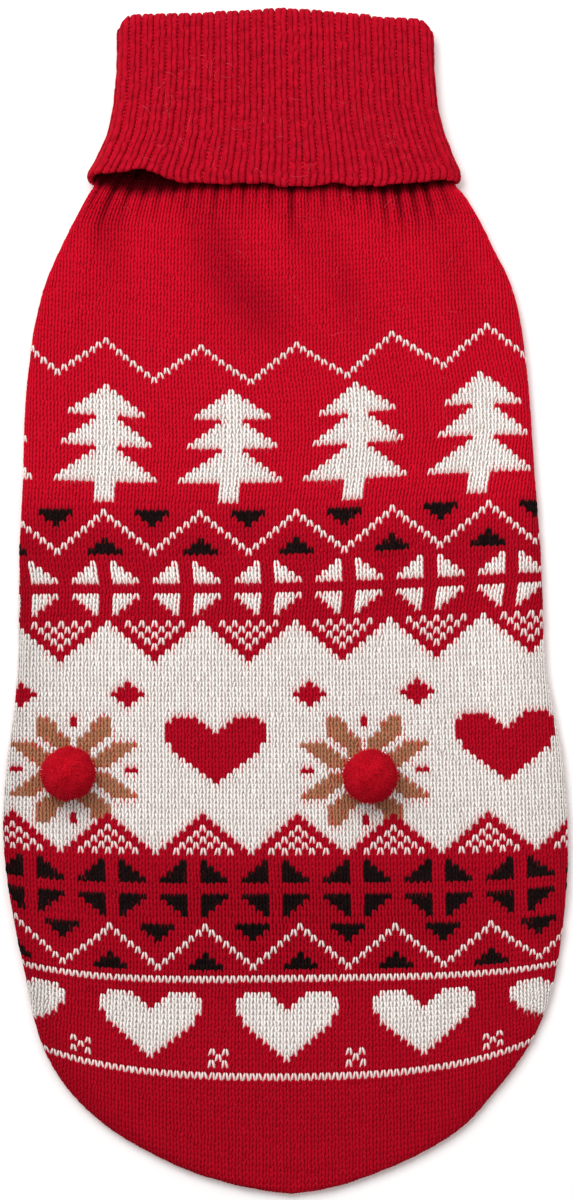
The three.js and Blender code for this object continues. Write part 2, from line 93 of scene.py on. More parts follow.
turnedEdge = np.array([  # x, y, and how far it stands off the body
    (-75.4, 160.0, 0.4), (-74.2, 163.4, 1.2), (-72, 164.4, 2.0), (-65, 164.9, 3.6), (-55, 166.2, 5.2),
    (-49, 165.6, 4.4), (-44.5, 162.4, 2.6), (-37, 161.3, 1.0), (-22, 160.8, 0.5), (-11, 161.4, 0.8),
    (0, 159.9, 0.4), (10, 159.9, 0.3), (17, 161.3, 0.9), (30, 159.9, 0.8), (43, 160.8, 1.6),
    (54, 161.9, 1.4), (66, 162.8, 0.5)])


def mix(a, b, t):
    return a + (b - a) * t


def smooth(value):
    t = np.clip(value, 0, 1)
    return t * t * (3 - 2 * t)


def reading(table, at, column=1):
    # a column of a table, at places in its first column
    rows = table if table[0, 0] < table[-1, 0] else table[::-1]
    return np.interp(at, rows[:, 0], rows[:, column])


def softly(table, at, column=1):
    # a rounded reading: the mean of five about the place, over a quarter of the table's usual step
    spread = (table[-1, 0] - table[0, 0]) / len(table) * 0.12
    return sum(reading(table, at + k * spread, column) for k in (-1, -0.5, 0, 0.5, 1)) / 5


def outlineAt(station):
    # a smooth curve through the rows of the outline, 0 at the neck
    last = len(outlineRows) - 1
    station = np.clip(np.asarray(station, float), 0, last)
    i = np.minimum(station.astype(int), last - 1)
    t = (station - i)[..., None]
    a, b, c, d = (outlineRows[np.clip(i + k, 0, last)] for k in (-1, 0, 1, 2))
    bend = (2 * a - 5 * b + 4 * c - d) * t ** 2 + (3 * b - a - 3 * c + d) * t ** 3
    return 0.5 * (2 * b + (c - a) * t + bend)


def riseAt(y):
    return body["neckRise"] * smooth((y - body["riseStarts"]) / (body["riseEnds"] - body["riseStarts"]))


def slitAt(y):
    towardsNeck = smooth((y - body["riseStarts"]) / (body["riseEnds"] - body["riseStarts"]))
    towardsTail = smooth((body["tailStarts"] - y) / (body["tailStarts"] - body["tailFlat"]))
    return mix(mix(body["bodySlit"], body["neckSlit"], towardsNeck), body["tailSlit"], towardsTail)


def middleAt(y):
    return riseAt(y) + body["wall"] + slitAt(y) / 2


def marginAt(y):
    t = smooth((body["fanStarts"] - y) / (body["fanStarts"] - body["tailFlat"]))
    return mix(body["sideMargin"], body["hemWidth"], t)


def skinAt(y):
    # the top layer's outer skin, before folds
    return middleAt(y) + slitAt(y) / 2 + body["wall"]


def fanAt(y):
    # 0 where the tail begins to fan out, and 1 at its end
    return np.clip((body["fanStarts"] - y) / (body["fanStarts"] - outlineRows[-1, 0]), 0, 1)


def dropAt(y, reach):
    # how far the top layer has come down at this distance from the fold, and how far it comes down in all
    nearNeck = smooth((body["neckSeam"] + body["neckRounding"] - y) / body["neckRounding"])
    whole = body["roundingShare"] * slitAt(y) * nearNeck
    return whole * (1 - np.clip(reach / body["sideRounding"], 0, 1)) ** 2, whole


def foldHeight(x, y):
    total = 0
    for foldX, foldY, reach, width, height, turn in softFolds:
        angle = math.radians(turn)
        along = (x - foldX) * math.cos(angle) + (y - foldY) * math.sin(angle)
        across = (y - foldY) * math.cos(angle) - (x - foldX) * math.sin(angle)
        total = total + height * np.exp(-(along / reach) ** 2 - (across / width) ** 2)
    return total


seamPlaces = np.linspace(-90, 90, 361)
spreadPlaces = seamPlaces * (1 + (body["neckSeam"] - gather["end"])
                             * (gather["fan"] + gather["sideFan"] * (seamPlaces / 60) ** 4))


def gatheredShare(y):
    return np.clip((y - gather["end"]) / (body["neckSeam"] - gather["end"]), 0, 1) ** gather["ease"]


def gatherDepth(x, y, extra=0.0):
    total = 0
    for gatherX, depth, reach in neckGathers:
        fade = 1 - smooth((body["neckSeam"] - y) / (reach + body["neckSeam"] - body["riseEnds"]))
        line = mix(np.interp(gatherX, seamPlaces, spreadPlaces), gatherX, gatheredShare(y))
        width = gather["width"] + gather["widthPerDepth"] * depth + extra
        total = np.maximum(total, depth * fade * np.exp(-((x - line) / width) ** 2))
    return total


def foldShade(x, y):
    # painted shade: how much darker the yarn is painted, deep in the gathers, under the turned edge, in soft
    # folds and at the sides
    below = softly(turnedEdge, x) - y
    lift = softly(turnedEdge, x, 2)
    reach = shading["edgeReach"] + shading["liftReach"] * lift
    under = smooth(shading["edgeStart"] - shading["edgeFade"] * below / reach)
    under = under * (shading["underEdge"] + shading["perLift"] * lift)
    soft = np.clip(shading["even"] - shading["perFold"] * foldHeight(x, y), 0, shading["foldMost"])
    left, right = (reading(outlineRows, y, k) for k in (1, 2))
    sides = (shading["left"] * (1 - smooth((x - left) / shading["sideReach"]))
             + shading["right"] * (1 - smooth((right - x) / shading["sideReach"])))
    sides = sides * smooth((shading["sidesStart"] - y) / shading["sidesStart"])
    return np.clip(under + shading["perGather"] * gatherDepth(x, y) + soft + sides, 0, shading["most"])


def hollowDepth(x, y):
    hollows = [depth * np.exp(-((x - hollowX) / across) ** 2 - ((y - hollowY) / along) ** 2)
               for hollowX, hollowY, across, along, depth in neckHollows]
    return np.maximum.reduce(hollows)


def reliefAt(x, y, reach, gathered=True):
    # what the top layer adds to its plain height: soft folds, gathers and the tail's sag
    fromCollar = smooth((body["riseEnds"] - y) / body["foldsFade"])
    soft = foldHeight(x, y) * smooth(reach / body["sideRounding"]) * fromCollar
    hem = marginAt(y)
    gathers = gatherDepth(x, y, gather["clothWidth"] - gather["width"]) if gathered else 0
    return soft - gathers - hollowDepth(x, y) - body["tailSag"] * fanAt(y) * smooth((reach - hem) / hem)


# the outline as a chain of short stretches, left side first, round the tail and up the right side
stretches = len(outlineRows) - 1
denseRows = outlineAt(np.linspace(0, stretches, 12 * stretches + 1))
edgeChain = np.concatenate([denseRows[:, [1, 0]], denseRows[::-1][1:, [2, 0]]])


def toOutline(x, y):
    # distance inside the outline, the nearest point on it and the way out of it
    point = np.stack([x, y], -1)
    near, outward = np.zeros_like(point), np.zeros_like(point)
    best = np.full(len(point), np.inf)
    sides = np.diff(edgeChain, axis=0)
    for corner, side, squared in zip(edgeChain, sides, (sides ** 2).sum(-1)):
        along = np.clip(((point - corner) @ side) / squared, 0, 1)
        spot = corner + along[:, None] * side
        gap = ((point - spot) ** 2).sum(-1)
        closer = gap < best
        best[closer] = gap[closer]
        near[closer] = spot[closer]
        outward[closer] = np.array([side[1], -side[0]]) / math.sqrt(squared)  # the cloth is on the left
    inside = ((point - near) * outward).sum(-1) < 0
    return np.sqrt(best) * np.where(inside, 1, -1), near, outward


def placeOnBack(x, y, sink, gathered=False):
    # a point of the back's unrolled cloth, on the top layer or round the fold, sunk below the outer skin
    distance, near, outward = toOutline(x, y)
    radius = slitAt(near[:, 1]) / 2 + body["wall"]
    reach = distance - radius
    drop, roundOff = dropAt(y, reach)
    top = skinAt(y) - drop + reliefAt(x, y, np.maximum(reach, 0), gathered) - sink
    angle = math.pi / 2 + np.minimum(reach, 0) / radius
    upper = radius - sink - np.where(angle > 0, roundOff, 0)
    turned = near + outward * (-radius + (radius - sink) * np.cos(angle))[:, None]
    side = middleAt(near[:, 1]) + upper * np.sin(angle)
    onTop = reach >= 0
    plan = np.where(onTop[:, None], np.stack([x, y], -1), turned)
    return np.column_stack([plan, np.where(onTop, top, side)]), angle


# The knitting chart: wales count to the right of the first tree's middle, rows from the first zigzag down.
chart = {
    "wales": (-24, 78), "rows": (-36, 164),
    "waleWidth": 2.6, "rowHeight": 2.0,  # usual sizes, for the cloth underneath
    "zigzag": 14, "tree": 18, "cross": 12, "heart": 20,  # wales to a motif's next repeat
}
waleTable = np.array([  # y, x of wale 0, width of a wale
    (-229, -68.4, 2.66), (-175, -68.5, 2.65), (-157, -67.9, 2.635), (-132, -67.6, 2.62), (-90, -68.6, 2.62),
    (-20, -68.7, 2.585), (-9, -68.5, 2.58), (5, -67.7, 2.6), (18, -69.5, 2.63), (36, -70.2, 2.65),
    (45, -69.6, 2.665), (62, -68.9, 2.688), (77, -69.0, 2.68), (92, -69.4, 2.63),
    (102, -69.2, 2.616), (154.6, -68.0, 2.56), (170, -67.6, 2.54)])
rowTable = np.array([  # row, y on the middle line
    (-36, 170.0), (-20, 138.2), (0, 98.3), (7, 85.0), (9, 81.0), (31, 39.4), (33, 33.8), (40, 19.2),
    (42, 14.4), (51, -3.9), (53, -8.6), (60, -24.2), (90, -83.2), (96, -96.4), (98, -101.0),
    (107, -120.4), (109, -125.6), (116, -140.9), (118, -145.5), (121, -152.0), (132, -176.4),
    (135, -183.6), (163, -246.0)])
bowTable = np.array([  # y, then how far a row bends towards the neck at each place across
    (-229, 22, 8, 0, 8, 22), (-183, 14, 3.0, 0, 4, 16.5), (-157, 7.5, 1.0, 0, 1.9, 7.6),
    (-145, 5.5, 0.2, 0, 1.2, 5.0), (-132, 3.6, 0, 0, 0.4, 3.4), (-83, 1.3, 0.4, 0, 0.5, 1.7),
    (-11, -1.0, -0.2, 0, 1.9, 3.8), (5, -0.8, -0.5, 0, 2.2, 4.2), (32, 0, 0, 0, 2.7, 3.5),
    (45, 1.1, -0.2, 0, 3.0, 4.3), (100, 5.5, 1.0, 0, 6.6, 5.8), (167, 3, 1, 0, 2, 2)])
bowPlaces = np.array([-100, -60, 0, 60, 100])


def bowAt(x, y):
    total = 0
    for k, place in enumerate(bowPlaces):
        others = np.delete(bowPlaces, k)
        weight = np.prod([(x - other) / (place - other) for other in others], axis=0)
        total = total + weight * reading(bowTable, y, k + 1)
    return total


def stitchPlan(wale, row):
    lineY = reading(rowTable, row)
    x = reading(waleTable, lineY) + wale * reading(waleTable, lineY, 2)
    x = mix(x, np.interp(x, spreadPlaces, seamPlaces), gatheredShare(lineY))
    return x, lineY + bowAt(x, lineY)


def chartPlace(x, y):
    # wale and row at a place, for tinting the cloth behind the stitches
    lineY = y - bowAt(x, y)
    wale = (x - reading(waleTable, lineY)) / reading(waleTable, lineY, 2)
    return wale, reading(rowTable[:, ::-1], lineY)


treeWidths = [1, 3, 5, 7, 9, 11, 3, 5, 7, 9, 11, 13, 3, 5, 7, 9, 11, 13, 15, 3, 3, 3, 3]  # from the tip down
# first and last row of a heart, from its middle wale out
creamHeart = [(3, 11), (2, 10), (1, 9), (0, 8), (0, 7), (0, 6), (0, 5), (1, 3)]
redHeart = [(3, 12), (2, 11), (1, 10), (0, 9), (0, 8), (0, 7), (0, 6), (1, 4)]
crossHeights = {1: 4, 2: 3, 3: 2, 4: 1, 7: 1, 8: 2, 9: 3, 10: 4}  # of a triangle, at each wale of the repeat
star = {  # sizes in wales
    "middles": (-5, 38), "row": 28, "reach": 10, "rowHeight": 8 / 9,
    "petalStart": 0.6, "petalWidth": 5.2, "petalLength": 5.1, "petalEnd": 9.6, "marks": (7.4, 9.4),
    "diamondRow": 13, "diamondPlace": 8,  # small diamonds over the star, at both sides of its middle
}
wideBand = {"heartMiddle": 16, "heartRepeat": 43, "heartTop": 18, "lowerEdge": 37, "lowerDots": 39}


def fromRepeat(wale, middle, repeat):
    # distance to the nearest middle of a motif that repeats
    return abs((wale - middle + repeat // 2) % repeat - repeat // 2)


# Each motif gives the yarn at a wale and at a row counted from the band's own first one.
def zigzag(wale, row):
    return "cream" if row == fromRepeat(wale, 0, chart["zigzag"]) else "red"


def filledZigzag(wale, row):
    # with a black triangle in each bay, above and below
    fromPeak = fromRepeat(wale, 0, chart["zigzag"])
    fromValley = chart["zigzag"] // 2 - fromPeak
    if row == fromPeak:
        return "cream"
    return "black" if fromValley <= 2 - row or fromPeak <= row - 5 else "red"


def trees(wale, row):
    return "cream" if fromRepeat(wale, 0, chart["tree"]) <= treeWidths[row] // 2 else "red"


def crosses(yarn, middle):
    # four stepped triangles round a plain cross, over ten rows
    def motif(wale, row):
        height = crossHeights.get((wale - middle) % chart["cross"], 0)
        return yarn if 4 - height <= row < 4 or 6 <= row < 6 + height else "red"
    return motif


def stripe(wale, row):
    return "cream"


def inHeart(heart, fromMiddle, row):
    return fromMiddle < len(heart) and heart[fromMiddle][0] <= row <= heart[fromMiddle][1]


def hearts(wale, row):
    # a row of hearts, with a few dots between two of them
    if row >= 10 and fromRepeat(wale, 16, chart["heart"]) <= 1 and (wale + row) % 2 == 1:
        return "cream"
    return "cream" if inHeart(creamHeart, fromRepeat(wale, 6, chart["heart"]), row) else "red"


def starYarn(dx, dy):
    # a traditional eight-petalled star of slanted petals, with red marks on its axes
    if max(abs(dx), abs(dy)) > star["reach"]:
        return None
    dx, dy = abs(dx), abs(dy) * star["rowHeight"]
    low, high = min(dx, dy), max(dx, dy)
    start = star["petalStart"]
    inPetal = start <= low <= star["petalWidth"] and start <= high - low <= star["petalLength"]
    if inPetal and high < star["petalEnd"]:
        return "tan"
    if low < start and star["marks"][0] < high < star["marks"][1]:
        return "red"
    return None


def starsAndHearts(wale, row):
    # stars, diamonds and hearts on cream, between two dotted zigzag borders
    fromPeak = fromRepeat(wale, 0, chart["zigzag"])
    fromValley = chart["zigzag"] // 2 - fromPeak
    if row < fromPeak:
        return "cream" if fromValley <= 4 - row and (fromValley + row) % 2 == 0 else "red"
    if row >= wideBand["lowerEdge"] + fromPeak:
        step = row - wideBand["lowerDots"]
        return "cream" if fromPeak <= step <= 4 and (fromPeak + step) % 2 == 0 else "red"
    for middle in star["middles"]:
        yarn = starYarn(wale - middle, row - star["row"])
        if yarn:
            return yarn
        if abs(abs(wale - middle) - star["diamondPlace"]) + abs(row - star["diamondRow"]) <= 2:
            return "red"
    fromHeart = fromRepeat(wale, wideBand["heartMiddle"], wideBand["heartRepeat"])
    return "red" if inHeart(redHeart, fromHeart, row - wideBand["heartTop"]) else "cream"


bands = [  # first row, last row and the motif; between two bands the cloth is plain red
    (0, 7, zigzag), (9, 31, trees), (33, 40, filledZigzag), (42, 51, crosses("cream", 0)),
    (53, 96, starsAndHearts), (98, 107, crosses("black", 1)), (109, 116, filledZigzag), (118, 118, stripe),
    (121, 133, hearts), (135, 135, stripe)]


def yarnAt(wale, row):
    for first, last, motif in bands:
        if first <= row <= last:
            return motif(wale, row - first)
    return "red"


# Colours are sRGB hex values.
yarnColours = {  # lighter strands, darker strands, and the tint of the soft glow of their fibres
    "red": ("#ca0f27", "#c00d24", "#dc1c34"), "cream": ("#fdf7f2", "#ece2dc", "#ffffff"),
    "black": ("#1c1414", "#0e0909", "#40302e"), "tan": ("#bb7c5c", "#a06849", "#d0a888"),
}
# painted light and shade in the gaps between the stitches: the red is lighter than its yarn, the cream and
# tan darker
carriedStrands = {"red": "#dc162e", "cream": "#d6c7c0", "black": "#1c1414", "tan": "#96654c"}
# colours mixed in: near-black red for painted shade, pink for red fibres with painted red bounce light,
# painted shade in the knit's grooves, and the sheen's tint
tints = {"hollow": "#140204", "blush": "#f07878", "paintedGrooveShade": "#3a0408", "knitGlow": "#e0203a"}
yarnRelief = {
    "patch": 2.6, "fibre": 0.45, "fibreHeight": 0.2,
    "lowerFrom": 45.0, "lowerTo": 25.0,  # y where the painted shade on the red yarn starts, and where it is darkest
}
knitRelief = {
    "slant": 1.3,  # rows that a leg of the V rises over a wale
    "groove": 0.8, "fuzz": 1.2,  # against the rows' own height of 1
    "fibre": 0.6, "height": 0.35,
}


def linearColour(code):
    parts = [int(code[i:i + 2], 16) / 255 for i in (1, 3, 5)]
    return [p / 12.92 if p <= 0.04045 else ((p + 0.055) / 1.055) ** 2.4 for p in parts] + [1.0]


def addNode(tree, kind, inputs=None, **settings):
    node = tree.nodes.new(kind)
    for key, value in settings.items():
        setattr(node, key, value)
    for socket, value in (inputs or {}).items():
        if isinstance(value, bpy.types.NodeSocket):
            tree.links.new(value, node.inputs[socket])
        else:
            node.inputs[socket].default_value = value
    return node


def calculated(tree, operation, *values):
    return addNode(tree, "ShaderNodeMath", dict(enumerate(values)), operation=operation).outputs[0]


def mixed(tree, share, a, b):
    # colour a with this share of colour b
    node = addNode(tree, "ShaderNodeMix", {"Factor": share, "A": a, "B": b}, data_type="RGBA")
    return node.outputs["Result"]


def newMaterial(name):
    material = bpy.data.materials.new(name)
    material.use_nodes = True
    material.node_tree.nodes.clear()
    return material, material.node_tree


def noiseAt(tree, place, size, **inputs):
    # a soft noise with patches of this size in millimetres
    node = addNode(tree, "ShaderNodeTexNoise", {"Vector": place, "Scale": 1 / (size * mm), **inputs})
    return node.outputs["Fac"]


def yarnMaterial(name, light, dark, glow, sheen=0.4, lowerShade=0.0, blushing=False):
    # Spun acrylic yarn: matt and a little hairy, with lighter and darker fibres and a soft glow at its edges.
    material, tree = newMaterial(name)
    place = addNode(tree, "ShaderNodeTexCoord").outputs["Object"]
    patches = noiseAt(tree, place, yarnRelief["patch"], Detail=1.0)
    fibres = noiseAt(tree, place, yarnRelief["fibre"], Detail=3.0, Roughness=0.7)
    lightness = addNode(tree, "ShaderNodeMapRange", {"Value": calculated(tree, "ADD", patches, fibres),
                                                     "From Min": 0.7, "From Max": 1.25})
    yarn = mixed(tree, lightness.outputs["Result"], linearColour(dark), linearColour(light))
    if blushing:  # red fibres and red light tinge the pale yarn where it meets the red
        edge = addNode(tree, "ShaderNodeAttribute", attribute_name="blush")
        yarn = mixed(tree, edge.outputs["Fac"], yarn, linearColour(tints["blush"]))
    # painted shade: the yarn is mixed towards near-black red by the foldShade mark
    paintedFoldShade = addNode(tree, "ShaderNodeAttribute", attribute_name="foldShade")
    yarn = mixed(tree, paintedFoldShade.outputs["Fac"], yarn, linearColour(tints["hollow"]))
    if lowerShade:  # painted shade: the red yarn is darker towards the tail
        parts = addNode(tree, "ShaderNodeSeparateXYZ", {"Vector": place})
        lower = addNode(tree, "ShaderNodeMapRange", {
            "Value": parts.outputs["Y"], "From Min": yarnRelief["lowerFrom"] * mm,
            "From Max": yarnRelief["lowerTo"] * mm, "To Max": lowerShade})
        yarn = mixed(tree, lower.outputs["Result"], yarn, linearColour(tints["hollow"]))
    bump = addNode(tree, "ShaderNodeBump", {"Height": fibres, "Strength": 0.3,
                                            "Distance": yarnRelief["fibreHeight"] * mm})
    shader = addNode(tree, "ShaderNodeBsdfPrincipled", {
        "Base Color": yarn, "Roughness": 0.86,
        "Sheen Weight": sheen, "Sheen Roughness": 0.6, "Sheen Tint": linearColour(glow),
        "Specular IOR Level": 0.08, "Specular Tint": linearColour(glow), "Normal": bump.outputs["Normal"]})
    addNode(tree, "ShaderNodeOutputMaterial", {"Surface": shader.outputs[0]})
    return material


def knitMaterial(name, light=None, dark=None, tint=None):
    # Plain knitted cloth seen from behind or below, as a fine relief of Vs on its own map of wales and rows.
    material, tree = newMaterial(name)
    place = addNode(tree, "ShaderNodeTexCoord")
    parts = addNode(tree, "ShaderNodeSeparateXYZ", {"Vector": place.outputs["UV"]})
    wale, row = parts.outputs["X"], parts.outputs["Y"]
    aside = calculated(tree, "ABSOLUTE", calculated(tree, "SUBTRACT", calculated(tree, "FRACT", wale), 0.5))
    legs = calculated(tree, "MULTIPLY_ADD", aside, knitRelief["slant"], row)
    legRows = calculated(tree, "SINE", calculated(tree, "MULTIPLY", legs, 2 * math.pi))
    grooves = calculated(tree, "COSINE", calculated(tree, "MULTIPLY", wale, 4 * math.pi))
    relief = calculated(tree, "MULTIPLY_ADD", grooves, -knitRelief["groove"], legRows)
    fuzz = noiseAt(tree, place.outputs["Object"], knitRelief["fibre"], Detail=3.0)
    height = calculated(tree, "MULTIPLY_ADD", fuzz, knitRelief["fuzz"], relief)
    # painted shade: where the relief is low, in the grooves between the strands, the colour is mixed towards
    # a darker one
    lightness = addNode(tree, "ShaderNodeMapRange", {"Value": height, "From Min": -1.0, "From Max": 2.0})
    if tint:  # the colour of the strands, with its painted shade, is on the mesh
        lightColour = addNode(tree, "ShaderNodeAttribute", attribute_name=tint).outputs["Color"]
        grooveShadeColour = mixed(tree, 0.1, lightColour, linearColour(tints["paintedGrooveShade"]))
    else:
        lightColour, grooveShadeColour = linearColour(light), linearColour(dark)
    bump = addNode(tree, "ShaderNodeBump", {"Height": height, "Strength": 0.8,
                                            "Distance": knitRelief["height"] * mm})
    glow = linearColour(tints["knitGlow"])
    shader = addNode(tree, "ShaderNodeBsdfPrincipled", {
        "Base Color": mixed(tree, lightness.outputs["Result"], grooveShadeColour, lightColour), "Roughness": 0.9,
        "Sheen Weight": 0.08, "Sheen Tint": glow, "Specular IOR Level": 0.06, "Specular Tint": glow,
        "Normal": bump.outputs["Normal"]})
    addNode(tree, "ShaderNodeOutputMaterial", {"Surface": shader.outputs[0]})
    return material


yarns = {name: yarnMaterial(name + "AcrylicYarn", *colours, lowerShade=0.3 if name == "red" else 0,
                            blushing=name == "cream") for name, colours in yarnColours.items()}
ribYarn = yarnMaterial("ribAcrylicYarn", "#b20f24", "#920a1a", "#c81c32")
backKnit = knitMaterial("jacquardBacking", tint="yarnColourAndShade")
# the second colour of each plain knitted cloth is its painted shade in the grooves of its relief
plainKnit = knitMaterial("plainRedKnit", "#cf0f27", "#a0081a")
# painted light: the collar's cloth between the ribs is lighter than the ribs' yarn, which lifts the shade in
# the furrows
ribKnit = knitMaterial("ribbedRedKnit", "#d2132b", "#b80e24")


def newPiece(name, mesh, material, slot, *replaced):
    piece = bpy.data.objects.new(name, mesh)
    bpy.context.collection.objects.link(piece)
    mesh.materials.append(material)
    mesh.shade_smooth()
    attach(piece, "root")
    if replaced:
        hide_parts(*replaced)
    return piece


def meshOf(name, bm):
    mesh = bpy.data.meshes.new(name)
    bm.to_mesh(mesh)
    bm.free()
    return mesh


def gridCloth(name, across, along, placeOf, material, slot, replaced, thickness, welded=False):
    # a grid bent into the cloth's middle surface, which then gets its thickness
    bm = bmesh.new()
    bmesh.ops.create_grid(bm, x_segments=across, y_segments=along, size=0.5)
    share = np.array([v.co[:2] for v in bm.verts]) + 0.5
    places, chart = placeOf(share[:, 0], share[:, 1])
    flat = bm.loops.layers.uv.new("clothMap")
    for face in bm.faces:
        for loop in face.loops:
            loop[flat].uv = chart[loop.vert.index]
    for vert, place in zip(bm.verts, places):
        vert.co = place * mm
    if welded:
        bmesh.ops.remove_doubles(bm, verts=bm.verts, dist=0.01 * mm)
    bmesh.ops.recalc_face_normals(bm, faces=bm.faces)
    piece = newPiece(name, meshOf(name, bm), material, slot, replaced)
    wall = piece.modifiers.new("wall", "SOLIDIFY")
    wall.thickness = thickness * mm
    wall.offset = 0
    return piece


# The cloth of the back panel. Its sections run from one side seam underneath, over the back, to the other.
backCloth = {
    "across": 130, "along": 200, "marginShare": 0.07, "foldShare": 0.05,
    "plainBelow": 2.6,  # height under which it is plain red
    "near": (0.35, 0.5), "close": (0.2, 0.3),  # how far off, in wales and rows, the yarn is looked up
}
clothWall = body["wall"] - body["stitchDepth"]


def backPlaces(u, v):
    # equal steps along the outline would crowd the tail, so rows of the table share them evenly
    station = v * (len(outlineRows) - 1)
    rows = outlineAt(station)
    y, left, right = rows[:, 0], rows[:, 1], rows[:, 2]
    fan = fanAt(y)
    spineX = mix((left + right) / 2, outlineRows[-1, 1], fan)
    spineY = np.where(y > body["fanStarts"], y, mix(body["fanStarts"], body["fanEnds"], fan))
    onRight = u > 0.5
    share = np.where(onRight, 1 - u, u) * 2  # 0 at the seam underneath and 1 at the middle
    edge, spine = np.stack([np.where(onRight, right, left), y], -1), np.stack([spineX, spineY], -1)
    out = edge - spine
    out /= np.linalg.norm(out, axis=1)[:, None]
    radius = slitAt(y) / 2 + body["wall"]
    centre = edge - out * radius[:, None]
    length = np.linalg.norm(centre - spine, axis=1)
    marginPart, foldPart = backCloth["marginShare"] * 2, backCloth["foldShare"] * 2
    underShare = np.clip(share / marginPart, 0, 1)
    angle = math.pi * (np.clip((share - marginPart) / foldPart, 0, 1) - 0.5)
    topShare = np.clip((share - marginPart - foldPart) / (1 - marginPart - foldPart), 0, 1)
    reach = topShare * length
    # below the fold the cloth has its whole thickness, and on top it leaves room for the stitches
    sink = clothWall / 2 + body["stitchDepth"] * smooth(angle / math.pi + 0.7)
    drop, roundOff = dropAt(y, reach)
    middle = middleAt(y)
    under = edge - out * mix(marginAt(y), radius, underShare)[:, None]
    turned = centre + out * ((radius - sink) * np.cos(angle))[:, None]
    top = centre - out * reach[:, None]
    topZ = skinAt(y) - drop + reliefAt(top[:, 0], top[:, 1], reach) - sink
    turnedZ = middle + (radius - sink - np.where(angle > 0, roundOff, 0)) * np.sin(angle)
    isTop, isUnder = topShare > 0, underShare < 1
    plan = np.where(isTop[:, None], top, np.where(isUnder[:, None], under, turned))
    height = np.where(isTop, topZ, np.where(isUnder, middle - radius + sink, turnedZ))
    return np.column_stack([plan, height]), np.column_stack(chartPlace(plan[:, 0], plan[:, 1]))


backPiece = gridCloth("backCloth", backCloth["across"], backCloth["along"], backPlaces, backKnit, "back_knit",
                      "back_panel", clothWall, welded=True)


def yarnsAbout(wale, row, reach):
    across, along = reach
    return {yarnAt(round(wale + a), round(row + b))
            for a, b in ((-across, 0), (across, 0), (0, -along), (0, along))}


def yarnBehind(wale, row, z):
    # behind a motif the strands have its colour, and red ones are carried along behind its borders
    if z <= backCloth["plainBelow"]:
        return "red"
    if "black" in yarnsAbout(wale, row, backCloth["close"]):
        return "black"
    found = yarnsAbout(wale, row, backCloth["near"])
    return found.pop() if len(found) == 1 else "red"


def colourBackWithShade(mesh):
    tint = mesh.color_attributes.new("yarnColourAndShade", "FLOAT_COLOR", "POINT")
    shades = {name: np.array(linearColour(code)) for name, code in carriedStrands.items()}
    spots = np.array([v.co for v in mesh.vertices]) / mm
    wale, row = chartPlace(spots[:, 0], spots[:, 1])
    # painted shade: the colour behind the stitches is darkened like the yarn, in gathers, under the turned
    # edge, in soft folds and at the sides
    deep = foldShade(spots[:, 0], spots[:, 1])
    for i, place in enumerate(zip(wale, row, spots[:, 2])):
        tint.data[i].color = shades[yarnBehind(*place)] * (1 - deep[i])


colourBackWithShade(backPiece.data)
print("back cloth done")

# The stitches: each is two plump legs that lean together towards the neck.
stitch = {
    "legBottom": 0.385, "legTop": 0.18,  # distance of a leg's ends from the stitch's middle, in wales
    "halfLength": 0.79,                 # in rows
    "halfWidth": 0.255,                 # in wales
    "depth": 0.25,                      # half of a strand's thickness, in millimetres
    "crown": (0.24, 0.13, -0.22),       # height of a leg's middle, its slope, and how far its ends dip
    "blunt": 0.5,                       # 0 for a pointed leg and 1 for a square-ended one
}
# the red ground is flatter and closer, and the lowest cream stitches of a motif have their feet tucked in
redStitch = dict(stitch, legBottom=0.33, legTop=0.205, halfWidth=0.31, depth=0.125, crown=(0.15, 0.05, -0.08))
lastStitch = dict(stitch, legBottom=0.4, legTop=0.14, halfWidth=0.24, crown=(0.3, 0.22, -0.2))
unevenness = {"sway": 0.035, "size": 0.05, "height": 0.03}  # from one stitch to the next
blush = {"everywhere": 0.1, "atFoot": 0.3}  # red tinge of a stitch that stands over a red one: red fibres and a painted red bounce light
stitchEnds = {  # none is made past this turn round a side fold in degrees, or where its step is too long
    "lowestTurn": -35.0, "longestStep": 4.5, "aboveSeam": 1.0,
}


def templateOf(bm):
    # a small shape as points and triangles, to be repeated
    bmesh.ops.recalc_face_normals(bm, faces=bm.faces)
    bmesh.ops.triangulate(bm, faces=bm.faces)
    bm.verts.index_update()
    points = np.array([v.co for v in bm.verts])
    corners = np.array([[v.index for v in f.verts] for f in bm.faces])
    bm.free()
    return points, corners


def stitchTemplate(sizes, strandSides=3):
    bm = bmesh.new()
    for side in (-1, 1):
        made = bmesh.ops.create_uvsphere(bm, u_segments=strandSides, v_segments=4, radius=1.0)
        middle, slope, dip = sizes["crown"]
        for v in made["verts"]:
            along = v.co.z
            lean = mix(sizes["legBottom"], sizes["legTop"], (along + 1) / 2)
            high = middle + slope * along + dip * along ** 2  # the upper end lies over the next stitch
            full = max(math.hypot(v.co.x, v.co.y), 0.01) ** -sizes["blunt"]
            a = side * lean + v.co.y * sizes["halfWidth"] * full
            h = high - v.co.x * sizes["depth"] * full
            v.co = (a, along * sizes["halfLength"], h)
    return templateOf(bm)


stitchShape, redShape, lastShape = (stitchTemplate(sizes) for sizes in (stitch, redStitch, lastStitch))


